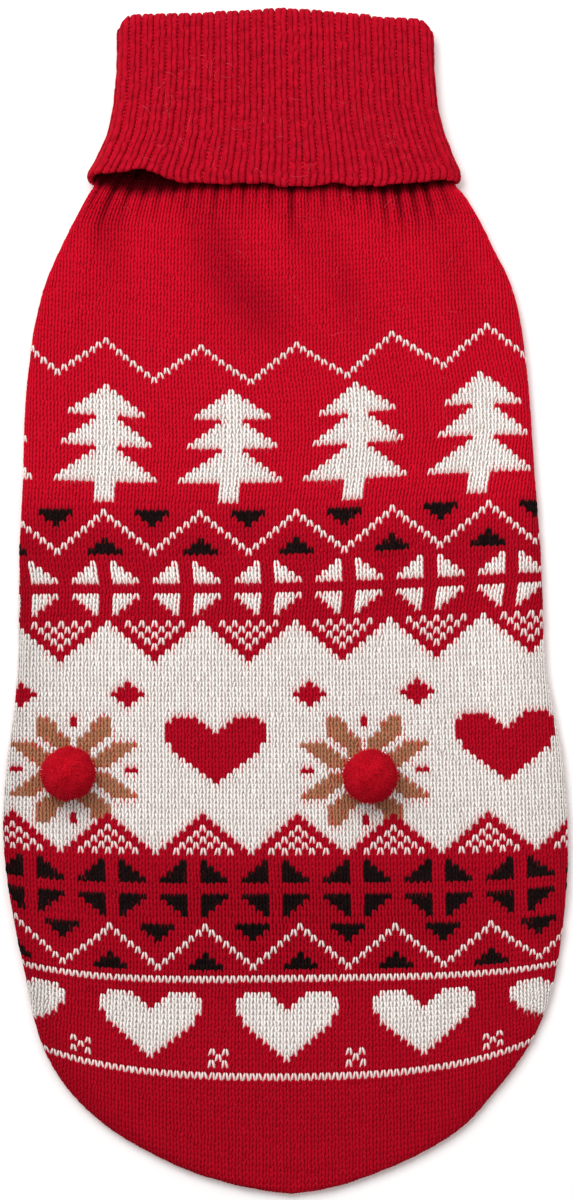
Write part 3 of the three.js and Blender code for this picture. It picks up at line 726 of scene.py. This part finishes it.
def repeatedMesh(name, points, corners, **marks):
    # one joined mesh of many copies, each with its own points, and each mark a number for every vertex
    count, size = points.shape[:2]
    allCorners = (corners[None] + size * np.arange(count)[:, None, None]).reshape(-1)
    mesh = bpy.data.meshes.new(name)
    mesh.vertices.add(count * size)
    mesh.vertices.foreach_set("co", (points.reshape(-1) * mm).astype(np.float32))
    mesh.loops.add(len(allCorners))
    mesh.loops.foreach_set("vertex_index", allCorners.astype(np.int32))
    mesh.polygons.add(len(allCorners) // 3)
    mesh.polygons.foreach_set("loop_start", np.arange(0, len(allCorners), 3, dtype=np.int32))
    mesh.update(calc_edges=True)
    mesh.validate()
    for mark, values in marks.items():
        attribute = mesh.attributes.new(mark, "FLOAT", "POINT")
        attribute.data.foreach_set("value", values.reshape(-1).astype(np.float32))
    return mesh


def stitchedPoints(shapes, middle, acrossStep, alongStep):
    # copies the stitch on to each place, by the cloth's own steps across and towards the neck
    normal = np.cross(acrossStep, alongStep)
    normal /= np.linalg.norm(normal, axis=1)[:, None]
    count = len(middle)
    sway = chance.normal(0, unevenness["sway"], (count, 1))
    loose = 1 + chance.normal(0, unevenness["size"], (count, 1))
    raised = chance.normal(0, unevenness["height"], (count, 1))
    a, b, h = (shapes[..., k] for k in range(3))
    a = a * loose + sway * (1 + b)
    h = h * loose + raised
    return (middle[:, None] + a[..., None] * acrossStep[:, None] + b[..., None] * alongStep[:, None]
            + h[..., None] * normal[:, None])


def backStitches():
    wales, rows = (part.reshape(-1) for part in np.meshgrid(
        np.arange(*chart["wales"]), np.arange(*chart["rows"]), indexing="ij"))

    def at(dWale, dRow):
        x, y = stitchPlan(wales + dWale, rows + dRow)
        place, angle = placeOnBack(x, y, body["stitchDepth"])
        return place, angle, y

    middle, angle, y = at(0, 0)
    acrossStep = at(0.5, 0)[0] - at(-0.5, 0)[0]
    alongStep = at(0, -0.5)[0] - at(0, 0.5)[0]
    kept = (angle > math.radians(stitchEnds["lowestTurn"])) & (y < body["neckSeam"] + stitchEnds["aboveSeam"])
    for size in (acrossStep, alongStep):
        kept &= np.linalg.norm(size, axis=1) < stitchEnds["longestStep"]
    names = np.array([yarnAt(int(w), int(r)) for w, r in zip(wales[kept], rows[kept])])
    below = np.array([yarnAt(int(w), int(r) + 1) for w, r in zip(wales[kept], rows[kept])])
    isLast = (names == "cream") & (below != "cream")
    shapes = np.where((names == "red")[:, None, None], redShape[0],
                      np.where(isLast[:, None, None], lastShape[0], stitchShape[0]))
    points = stitchedPoints(shapes, middle[kept], acrossStep[kept], alongStep[kept])
    points[..., 2] -= gatherDepth(points[..., 0], points[..., 1])
    low = (1 - stitchShape[0][:, 1] / stitch["halfLength"]) / 2
    tinge = np.where((below == "red")[:, None], blush["everywhere"] + blush["atFoot"] * low, 0)
    return names, rows[kept], points, tinge


stitchYarns, stitchRows, stitchPoints, stitchTinge = backStitches()
stitchShades = foldShade(stitchPoints[..., 0], stitchPoints[..., 1])
# rows at which a yarn's next piece starts, because one piece of all its stitches would be too large
pieceStarts = {"red": [0, 33, 61, 108, 129], "cream": [67, 81], "black": [], "tan": []}
for yarn, between in pieceStarts.items():
    starts = [chart["rows"][0], *between, chart["rows"][1]]
    for number, (first, last) in enumerate(zip(starts, starts[1:]), 1):
        mine = (stitchYarns == yarn) & (stitchRows >= first) & (stitchRows < last)
        mesh = repeatedMesh(f"{yarn}Stitches{number}", stitchPoints[mine], stitchShape[1],
                            foldShade=stitchShades[mine], blush=stitchTinge[mine])
        newPiece(f"{yarn}Stitches{number}", mesh, yarns[yarn], "back_knit")
        print(f"{yarn} stitches {number}: {mine.sum()}")

# The belly panel, with a hole for each foreleg.
belly = {
    "rearStation": 15, "arch": 16.0, "archSharpness": 8, "seamGap": 0.3, "skinGap": 0.1,
    "across": 84, "along": 96, "holeReach": 0.045,  # vertices nearer than this share move to the hole's edge
}
legHole = {"x": 45.0, "y": 95.0, "across": 19.0, "along": 25.0}
legBand = {"width": 8.0, "height": 2.2, "wall": 1.9, "ribs": 56, "ribHeight": 0.3, "furrow": 0.05,
           "edgeGap": 0.15, "across": 280, "along": 8, "rows": 4}


def holeShare(side, x, y):
    # 1 at the edge of the hole that is cut for the band, and less inside it
    reach = legBand["width"] + belly["seamGap"]
    return np.hypot((x - side * legHole["x"]) / (legHole["across"] + reach),
                    (y - legHole["y"]) / (legHole["along"] + reach))


def bellyPlaces(u, v):
    station = v * belly["rearStation"]
    rows = outlineAt(station)
    y, left, right = rows[:, 0], rows[:, 1], rows[:, 2]
    inset = marginAt(y) + belly["seamGap"]
    x = mix(left + inset, right - inset, u)
    y = y + belly["arch"] * (station / belly["rearStation"]) ** belly["archSharpness"] * 4 * u * (1 - u)
    sunk = np.minimum(riseAt(y), hollowDepth(x, y))  # it gives way where the back dives under the turned edge
    places = np.column_stack([x, y, riseAt(y) - sunk + body["wall"] / 2])
    for side in (-1, 1):
        share = holeShare(side, x, y)
        beside = abs(share - 1) < belly["holeReach"]
        middle = np.array([side * legHole["x"], legHole["y"]])
        places[beside, :2] = middle + (places[beside, :2] - middle) / share[beside, None]
    return places, np.column_stack([x / chart["waleWidth"], -y / chart["rowHeight"]])


bellyPiece = gridCloth("bellyCloth", belly["across"], belly["along"], bellyPlaces, plainKnit, "belly_knit",
                       "belly_panel", body["wall"] - belly["skinGap"])
bm = bmesh.new()
bm.from_mesh(bellyPiece.data)
spots = [(face, face.calc_center_median() / mm) for face in bm.faces]
inHoles = [face for face, spot in spots if min(holeShare(side, spot.x, spot.y) for side in (-1, 1)) < 1]
bmesh.ops.delete(bm, geom=inHoles, context="FACES")
bm.to_mesh(bellyPiece.data)
bm.free()


def bandPlaces(side):
    def places(u, v):
        turn = 2 * math.pi * u
        reach = mix(legBand["edgeGap"], legBand["width"] - legBand["edgeGap"], v)
        x = side * legHole["x"] + (legHole["across"] + reach) * np.cos(turn)
        y = legHole["y"] + (legHole["along"] + reach) * np.sin(turn)
        rib = legBand["ribHeight"] * np.cos(turn * legBand["ribs"]) * np.sqrt(np.sin(math.pi * v))
        z = legBand["height"] / 2 + np.maximum(rib, -legBand["furrow"])
        return np.column_stack([x, y, z]), np.column_stack([u * legBand["ribs"], v * legBand["rows"]])
    return places


for name, side in (("Left", -1), ("Right", 1)):
    band = gridCloth("legBand" + name, legBand["across"], legBand["along"], bandPlaces(side), plainKnit,
                     "band_knit", "leg_band_" + name.lower(), legBand["wall"], welded=True)
print("underside done")

# The collar: a ribbed tube, turned down outwards.
collar = {
    "ribs": 24, "sideRibs": 3,  # across each face, and round each side fold
    "ribHeight": 0.95,
    "ribShare": 0.82, "ribSpread": 0.14, "ribSwell": 0.1,  # a rib's usual share of this, and how it varies
    "furrow": 9,          # sharpness of the furrow between two ribs
    "middle": 4.8,        # height of the space between its inner layers
    "standOffset": 1.5, "turnedOffset": 3.45, "outerOffset": 4.8, "layerGap": 0.1,
    "seam": 167.3, "foldInset": 2.3,
    "scallop": 0.45, "scallopSpread": 0.8,  # how far each rib's end hangs past the turned edge
    "underEdge": 159.3,   # where its turned edge ends underneath
    "acrossPerRib": 9, "standRows": 8, "foldRows": 8, "flapRows": 30,
    "clothRows": 62,      # rows of the fine relief between the stitches
    "flapLength": 62.0, "rowHeight": 2.3, "stitchesOverFold": 4, "stitchLift": 0.66,
    "sway": 0.03, "size": 0.05, "height": 0.07,  # from one stitch to the next
}
ribCount = 2 * (collar["ribs"] + collar["sideRibs"])
collarRows = np.cumsum([0, collar["standRows"], collar["foldRows"], collar["flapRows"]])
ribStitch = {"legBottom": 0.235, "legTop": 0.215, "halfLength": 1.0, "halfWidth": 0.25, "depth": 0.3,
             "crown": (0.2, 0.05, -0.08), "blunt": 0.5}
collarSides = np.array([
    (159, -73.2, 64.8), (161.4, -74.9, 66.4), (164.2, -75.6, 67.1), (171, -71.8, 64.3), (180, -68.0, 60.8),
    (191, -65.9, 58.2), (205, -64.9, 57.0), (230, -64.6, 56.2)])
foldLine = np.array([
    (-65, 219.4), (-63.6, 222.8), (-61.5, 224.6), (-58, 225.5), (-33, 226.2), (0, 228.0), (21, 226.4),
    (37, 224.6), (51, 223.9), (54.4, 222.6), (56.4, 219.4)])


def ribShape(phase):
    return 1 - np.abs(2 * (phase % 1) - 1) ** collar["furrow"]


def ribUnevenness(cell, way):
    # no two ribs stand out alike, and each of them rises and falls a little along its way
    rib = np.floor(cell)
    spread = collar["ribSpread"] * np.sin(rib * 2.4) * np.cos(rib * 1.3)
    return collar["ribShare"] + spread + collar["ribSwell"] * np.sin(way * 5 + rib * 1.7)


def collarPoint(turn, way, out):
    # turn runs round the tube, 0 to 1 from the left fold, and way along it: 0 at the seam, 1 and 2 at the
    # fold's two sides, 3 at the turned edge. out is the distance outwards from the cloth's middle.
    n, m, outer = collar["ribs"], collar["sideRibs"], collar["outerOffset"]
    cell = (turn % 1) * ribCount
    rightShare, leftShare = (np.clip((cell - start) / m, 0, 1) for start in (n, 2 * n + m))
    facesUp = cell < n + m / 2
    across = np.where(facesUp, np.clip(cell / n, 0, 1), 1 - np.clip((cell - n - m) / n, 0, 1))
    side = math.pi * np.where(facesUp, 0.5 - rightShare, -0.5 - leftShare)
    flat = (cell <= n) | ((cell >= n + m) & (cell <= 2 * n + m))
    bulge = np.where(flat, 0, outer * np.cos(side))
    edgeX, foldX = (mix(row[1] + outer, row[2] - outer, across) + bulge for row in collarSides[[0, -1]])
    stand, fold, flap = (np.clip(way - start, 0, 1) for start in (0, 1, 2))
    upper = np.where(cell < n, 1, np.where(cell < n + m, 1 - rightShare, leftShare))  # 0 where it lies below
    yFold = softly(foldLine, foldX) - collar["foldInset"]
    unlike = 1 + collar["scallopSpread"] * np.sin(np.floor(cell) * 2.7)
    yEdge = softly(turnedEdge, edgeX) - collar["scallop"] * ribShape(cell) * unlike * upper
    yEdge = mix(collar["underEdge"], yEdge, smooth(upper))
    ribs = collar["ribHeight"] * ribShape(cell) * ribUnevenness(cell, way)
    out = out + ribs * smooth(fold * 2) * smooth(upper * 1.5)
    foldRadius = (collar["turnedOffset"] - collar["standOffset"]) / 2
    foldMiddle = (collar["turnedOffset"] + collar["standOffset"]) / 2
    y = np.select([way < 1, way > 2], [mix(collar["seam"], yFold, stand), mix(yFold, yEdge, flap)], yFold)
    y = y + np.where((way >= 1) & (way <= 2), (foldRadius + out) * np.sin(math.pi * fold), 0)
    lift = softly(turnedEdge, edgeX, 2) * flap ** 3 * upper
    offset = foldMiddle - (foldRadius + out) * np.cos(math.pi * fold) + lift
    left, right = softly(collarSides, y) + outer, softly(collarSides, y, 2) - outer
    x = mix(left, right, across) + np.where(flat, 0, offset * np.cos(side))
    lowest = collar["middle"] - clothWall / 2 - collar["layerGap"]  # it lies on the table
    offset = np.where(np.sin(side) < 0, np.minimum(offset, lowest), offset)
    return np.column_stack([x, y, collar["middle"] + offset * np.sin(side)])


def collarPlaces(u, v):
    way = np.interp(v * collarRows[-1], collarRows, [0, 1, 2, 3])
    chartAt = np.column_stack([u * ribCount * 2, v * collar["clothRows"]])
    return collarPoint(u, way, np.zeros_like(u)), chartAt


collarPiece = gridCloth("collarCloth", collar["acrossPerRib"] * ribCount, int(collarRows[-1]), collarPlaces,
                        ribKnit, "collar_knit", "collar", clothWall, welded=True)
ribLoop, ribCorners = stitchTemplate(ribStitch, 5)


def collarStitches():
    # over the fold and then down the flap, each with its own count of rows and so its own step along the way
    rows, steps = [], []
    flapStitches = int(collar["flapLength"] / collar["rowHeight"])
    for start, count in ((1, collar["stitchesOverFold"]), (2, flapStitches)):
        rows.append(start + (np.arange(count) + 0.5) / count)
        steps.append(np.full(count, 1 / count))
    turns = (np.arange(-2, collar["ribs"] + 2) + 0.5) / ribCount
    turn, way = (part.reshape(-1, 1) for part in np.meshgrid(turns, np.concatenate(rows), indexing="ij"))
    step = np.tile(np.concatenate(steps), len(turns))[:, None]
    a, b, h = ribLoop.T[:, None]
    a = a * (1 + chance.normal(0, collar["size"], turn.shape))
    a = a + chance.normal(0, collar["sway"], turn.shape) * (1 + b)
    h = h + chance.normal(0, collar["height"], turn.shape) + collar["stitchLift"]
    turn, way = turn + a / ribCount, np.minimum(way - b * step, 3.01)  # the last row ends at the turned edge
    return collarPoint(turn.reshape(-1), way.reshape(-1), h.reshape(-1)).reshape(len(turn), -1, 3)


collarStitchMesh = repeatedMesh("collarStitches", collarStitches(), ribCorners)
collarStitchPiece = newPiece("collarStitches", collarStitchMesh, ribYarn, "collar_knit")

# Loose fibres that stand off the yarn: thin bent hairs over the collar and the plain top of the back.
hairs = {
    "onCollar": 70, "onBack": 30, "thickness": 0.035, "steps": 6,
    "shortest": 3.0, "longest": 10.0, "curl": 2.2, "bow": (0.3, 1.3), "tipShare": 0.4,
    "collarWay": (2.2, 2.95), "collarLift": 0.9, "backX": (-78, 72), "backY": (60, 158), "backLift": 0.05,
}
hairYarn = yarnMaterial("looseFibre", "#ee6a70", "#dc4a54", "#ff9a9a")


def hairTemplate():
    # a three-sided tube of unit length along Z
    bm = bmesh.new()
    bmesh.ops.create_grid(bm, x_segments=3, y_segments=hairs["steps"], size=0.5)
    for v in bm.verts:
        turn = 2 * math.pi * (v.co.x + 0.5)
        v.co = (math.cos(turn), math.sin(turn), v.co.y + 0.5)
    bmesh.ops.remove_doubles(bm, verts=bm.verts, dist=1e-4)
    return templateOf(bm)


def hairPoints(shape, starts):
    count = len(starts)
    length = chance.uniform(hairs["shortest"], hairs["longest"], (count, 1, 1))
    length = length * chance.uniform(0.5, 1, (count, 1, 1))  # so there are more short ones
    heading = chance.uniform(0, 2 * math.pi, (count, 1))
    curl = chance.uniform(-hairs["curl"], hairs["curl"], (count, 1))
    t = shape[None, :, 2]
    turned = heading + curl * t
    run = np.stack([np.sin(turned) - np.sin(heading), np.cos(heading) - np.cos(turned), 0 * turned], -1)
    run = run * length / np.where(abs(curl) < 0.05, 0.05, curl)[:, :, None]
    bow = chance.uniform(*hairs["bow"], (count, 1)) * np.sin(math.pi * t)
    thick = hairs["thickness"] * mix(1, hairs["tipShare"], t)
    points = starts[:, None] + run
    sideways = np.stack([-np.sin(turned), np.cos(turned)], -1)
    points[..., :2] += sideways * (shape[None, :, 0] * thick)[..., None]
    points[..., 2] += bow + shape[None, :, 1] * thick
    return points


hairShape, hairCorners = hairTemplate()
collarTurns = chance.uniform(0.5, collar["ribs"] - 0.5, hairs["onCollar"]) / ribCount
collarWays = chance.uniform(*hairs["collarWay"], hairs["onCollar"])
collarStarts = collarPoint(collarTurns, collarWays, np.full(hairs["onCollar"], hairs["collarLift"]))
backX, backY = (chance.uniform(*hairs[key], hairs["onBack"]) for key in ("backX", "backY"))
starts = np.concatenate([collarStarts, placeOnBack(backX, backY, -hairs["backLift"])[0]])
hairMesh = repeatedMesh("looseFibres", hairPoints(hairShape, starts), hairCorners)
hairPiece = newPiece("looseFibres", hairMesh, hairYarn, "collar_knit")
print("collar done")

# The pompoms: dense cut pile on a round core.
pompom = {
    "radius": 10.3, "seat": 8.7, "core": 9.6, "flattened": 0.85, "seamGap": 0.3,
    "strands": 5600, "strandWidth": 0.27, "tipShare": 0.3, "rootDepth": 0.9,
    "wander": 0.02, "lumpiness": 0.04, "lengthSpread": 0.012, "tipSpread": 0.35,
}
pompomPlaces = {"Left": (-83.2, -65.9), "Right": (32.5, -67.0)}
pileRed = yarnMaterial("redCutPile", "#ba1122", "#b00f1f", "#d42236", sheen=0.6)


def strandTemplate():
    # a three-sided strand from Z 0, where it is open because the core hides it, to 1
    bm = bmesh.new()
    bmesh.ops.create_cone(bm, segments=3, radius1=1, radius2=pompom["tipShare"], depth=1, cap_ends=True)
    bmesh.ops.translate(bm, verts=bm.verts, vec=(0, 0, 0.5))
    root = [face for face in bm.faces if face.calc_center_median().z < 0.1]
    bmesh.ops.delete(bm, geom=root, context="FACES")
    return templateOf(bm)


def pileStrands(centre, shape):
    # directions spread evenly over a ball, each with one tapered strand
    count = pompom["strands"]
    k = np.arange(count) + 0.5
    z = 1 - 2 * k / count
    turn = math.pi * (1 + 5 ** 0.5) * k
    way = np.column_stack([np.sqrt(1 - z * z) * np.cos(turn), np.sqrt(1 - z * z) * np.sin(turn), z])
    way += chance.normal(0, pompom["wander"], way.shape)
    way /= np.linalg.norm(way, axis=1)[:, None]
    lumps = np.sin(way @ (2.1, -1.3, 0.4) * 2.3 + 0.7) * np.sin(way @ (-0.6, 1.9, 1.1) * 2.1)
    unlike = pompom["lumpiness"] * lumps + chance.normal(0, pompom["lengthSpread"], count)
    length = pompom["radius"] * (1 + unlike)
    down = -way[:, 2]  # the lowest strands end where the pompom sits on the cloth
    length = np.where(down > 0.1, np.minimum(length, pompom["seat"] / np.maximum(down, 0.1)), length)
    tip = centre + way * length[:, None] + chance.normal(0, pompom["tipSpread"], way.shape)
    root = centre + way * (pompom["core"] - pompom["rootDepth"])
    side = np.cross(way, chance.normal(0, 1, way.shape))
    side /= np.linalg.norm(side, axis=1)[:, None]
    third = np.cross(way, side)
    a, b, along = shape[None, :, 1, None], -shape[None, :, 0, None], shape[None, :, 2, None]
    points = mix(root[:, None], tip[:, None], along)
    points += pompom["strandWidth"] * (a * side[:, None] + b * third[:, None])
    return (points - centre) * (1, 1, pompom["flattened"]) + centre


strandShape, strandCorners = strandTemplate()
for name, (x, y) in pompomPlaces.items():
    cloth, _ = placeOnBack(np.array([x]), np.array([y]), 0.0)
    centre = np.array([x, y, cloth[0, 2] + pompom["seamGap"] + pompom["seat"] * pompom["flattened"]])
    pileMesh = repeatedMesh("pompomPile" + name, pileStrands(centre, strandShape), strandCorners)
    newPiece("pompomPile" + name, pileMesh, pileRed, "pompom_pile", "pompom_" + name.lower())
    bm = bmesh.new()
    bmesh.ops.create_icosphere(bm, subdivisions=4, radius=pompom["core"] * mm)
    bmesh.ops.scale(bm, verts=bm.verts, vec=(1, 1, pompom["flattened"]))
    bmesh.ops.translate(bm, verts=bm.verts, vec=centre * mm)
    newPiece("pompomCore" + name, meshOf("pompomCore" + name, bm), pileRed, "pompom_pile")
print("pompoms done")

# The floor, the light and the camera, which looks straight down.
studio = {
    "floor": "#f7f6f5", "grain": "#fbfbfa", "floorReach": 2.5, "floorDrop": 0.2,
    "backdrop": 0.85, "sky": 0.56, "lampSize": 0.8,
    "keyLight": ((-0.42, 0.62, 1.05), 12.5), "sideLight": ((0.4, 0.8, 1.0), 4.1),  # place in metres and power
    "lens": 120.0, "sensor": 36.0, "viewHeight": 462.0, "middle": (0.35, 0.6), "plane": 6.0,
}
bm = bmesh.new()
bmesh.ops.create_grid(bm, x_segments=1, y_segments=1, size=studio["floorReach"])
bmesh.ops.translate(bm, verts=bm.verts, vec=(0, 0, -studio["floorDrop"] * mm))
floor = bpy.data.objects.new("floor", meshOf("floor", bm))
bpy.context.collection.objects.link(floor)
paper, tree = newMaterial("mattPaper")  # plain and matt, so it shows nothing but the soft shadow
grain = addNode(tree, "ShaderNodeTexNoise", {"Scale": 60.0}).outputs["Fac"]
tone = mixed(tree, grain, linearColour(studio["floor"]), linearColour(studio["grain"]))
matt = addNode(tree, "ShaderNodeBsdfPrincipled", {"Base Color": tone, "Roughness": 0.95,
                                                  "Specular IOR Level": 0.1})
addNode(tree, "ShaderNodeOutputMaterial", {"Surface": matt.outputs[0]})
floor.data.materials.append(paper)


def areaLight(name, place, power):
    light = bpy.data.lights.new(name, "AREA")
    light.size = studio["lampSize"]
    light.energy = power
    lamp = bpy.data.objects.new(name, light)
    lamp.location = place
    direction = -lamp.location.normalized()
    lamp.rotation_euler = direction.to_track_quat("-Z", "Y").to_euler()
    bpy.context.collection.objects.link(lamp)


for name in ("keyLight", "sideLight"):
    areaLight(name, *studio[name])
world = bpy.data.worlds.new("studio")
world.use_nodes = True
sky = world.node_tree.nodes["Background"]
sky.inputs["Color"].default_value = (1, 1, 1, 1)
rays = addNode(world.node_tree, "ShaderNodeLightPath")  # the backdrop is pale though its light is low
seen = addNode(world.node_tree, "ShaderNodeMapRange", {"Value": rays.outputs["Is Camera Ray"],
                                                       "To Min": studio["sky"], "To Max": studio["backdrop"]})
world.node_tree.links.new(seen.outputs["Result"], sky.inputs["Strength"])
bpy.context.scene.world = world
bpy.context.scene.view_settings.view_transform = "Standard"  # keeps the yarns as saturated as they are

cameraData = bpy.data.cameras.new("camera")
cameraData.lens = studio["lens"]
cameraData.sensor_width = studio["sensor"]
cameraData.clip_end = 20
camera = bpy.data.objects.new("camera", cameraData)
away = studio["viewHeight"] / studio["sensor"] * studio["lens"] + studio["plane"]
camera.location = (studio["middle"][0] * mm, studio["middle"][1] * mm, away * mm)
bpy.context.collection.objects.link(camera)
bpy.context.scene.camera = camera
print("scene done")
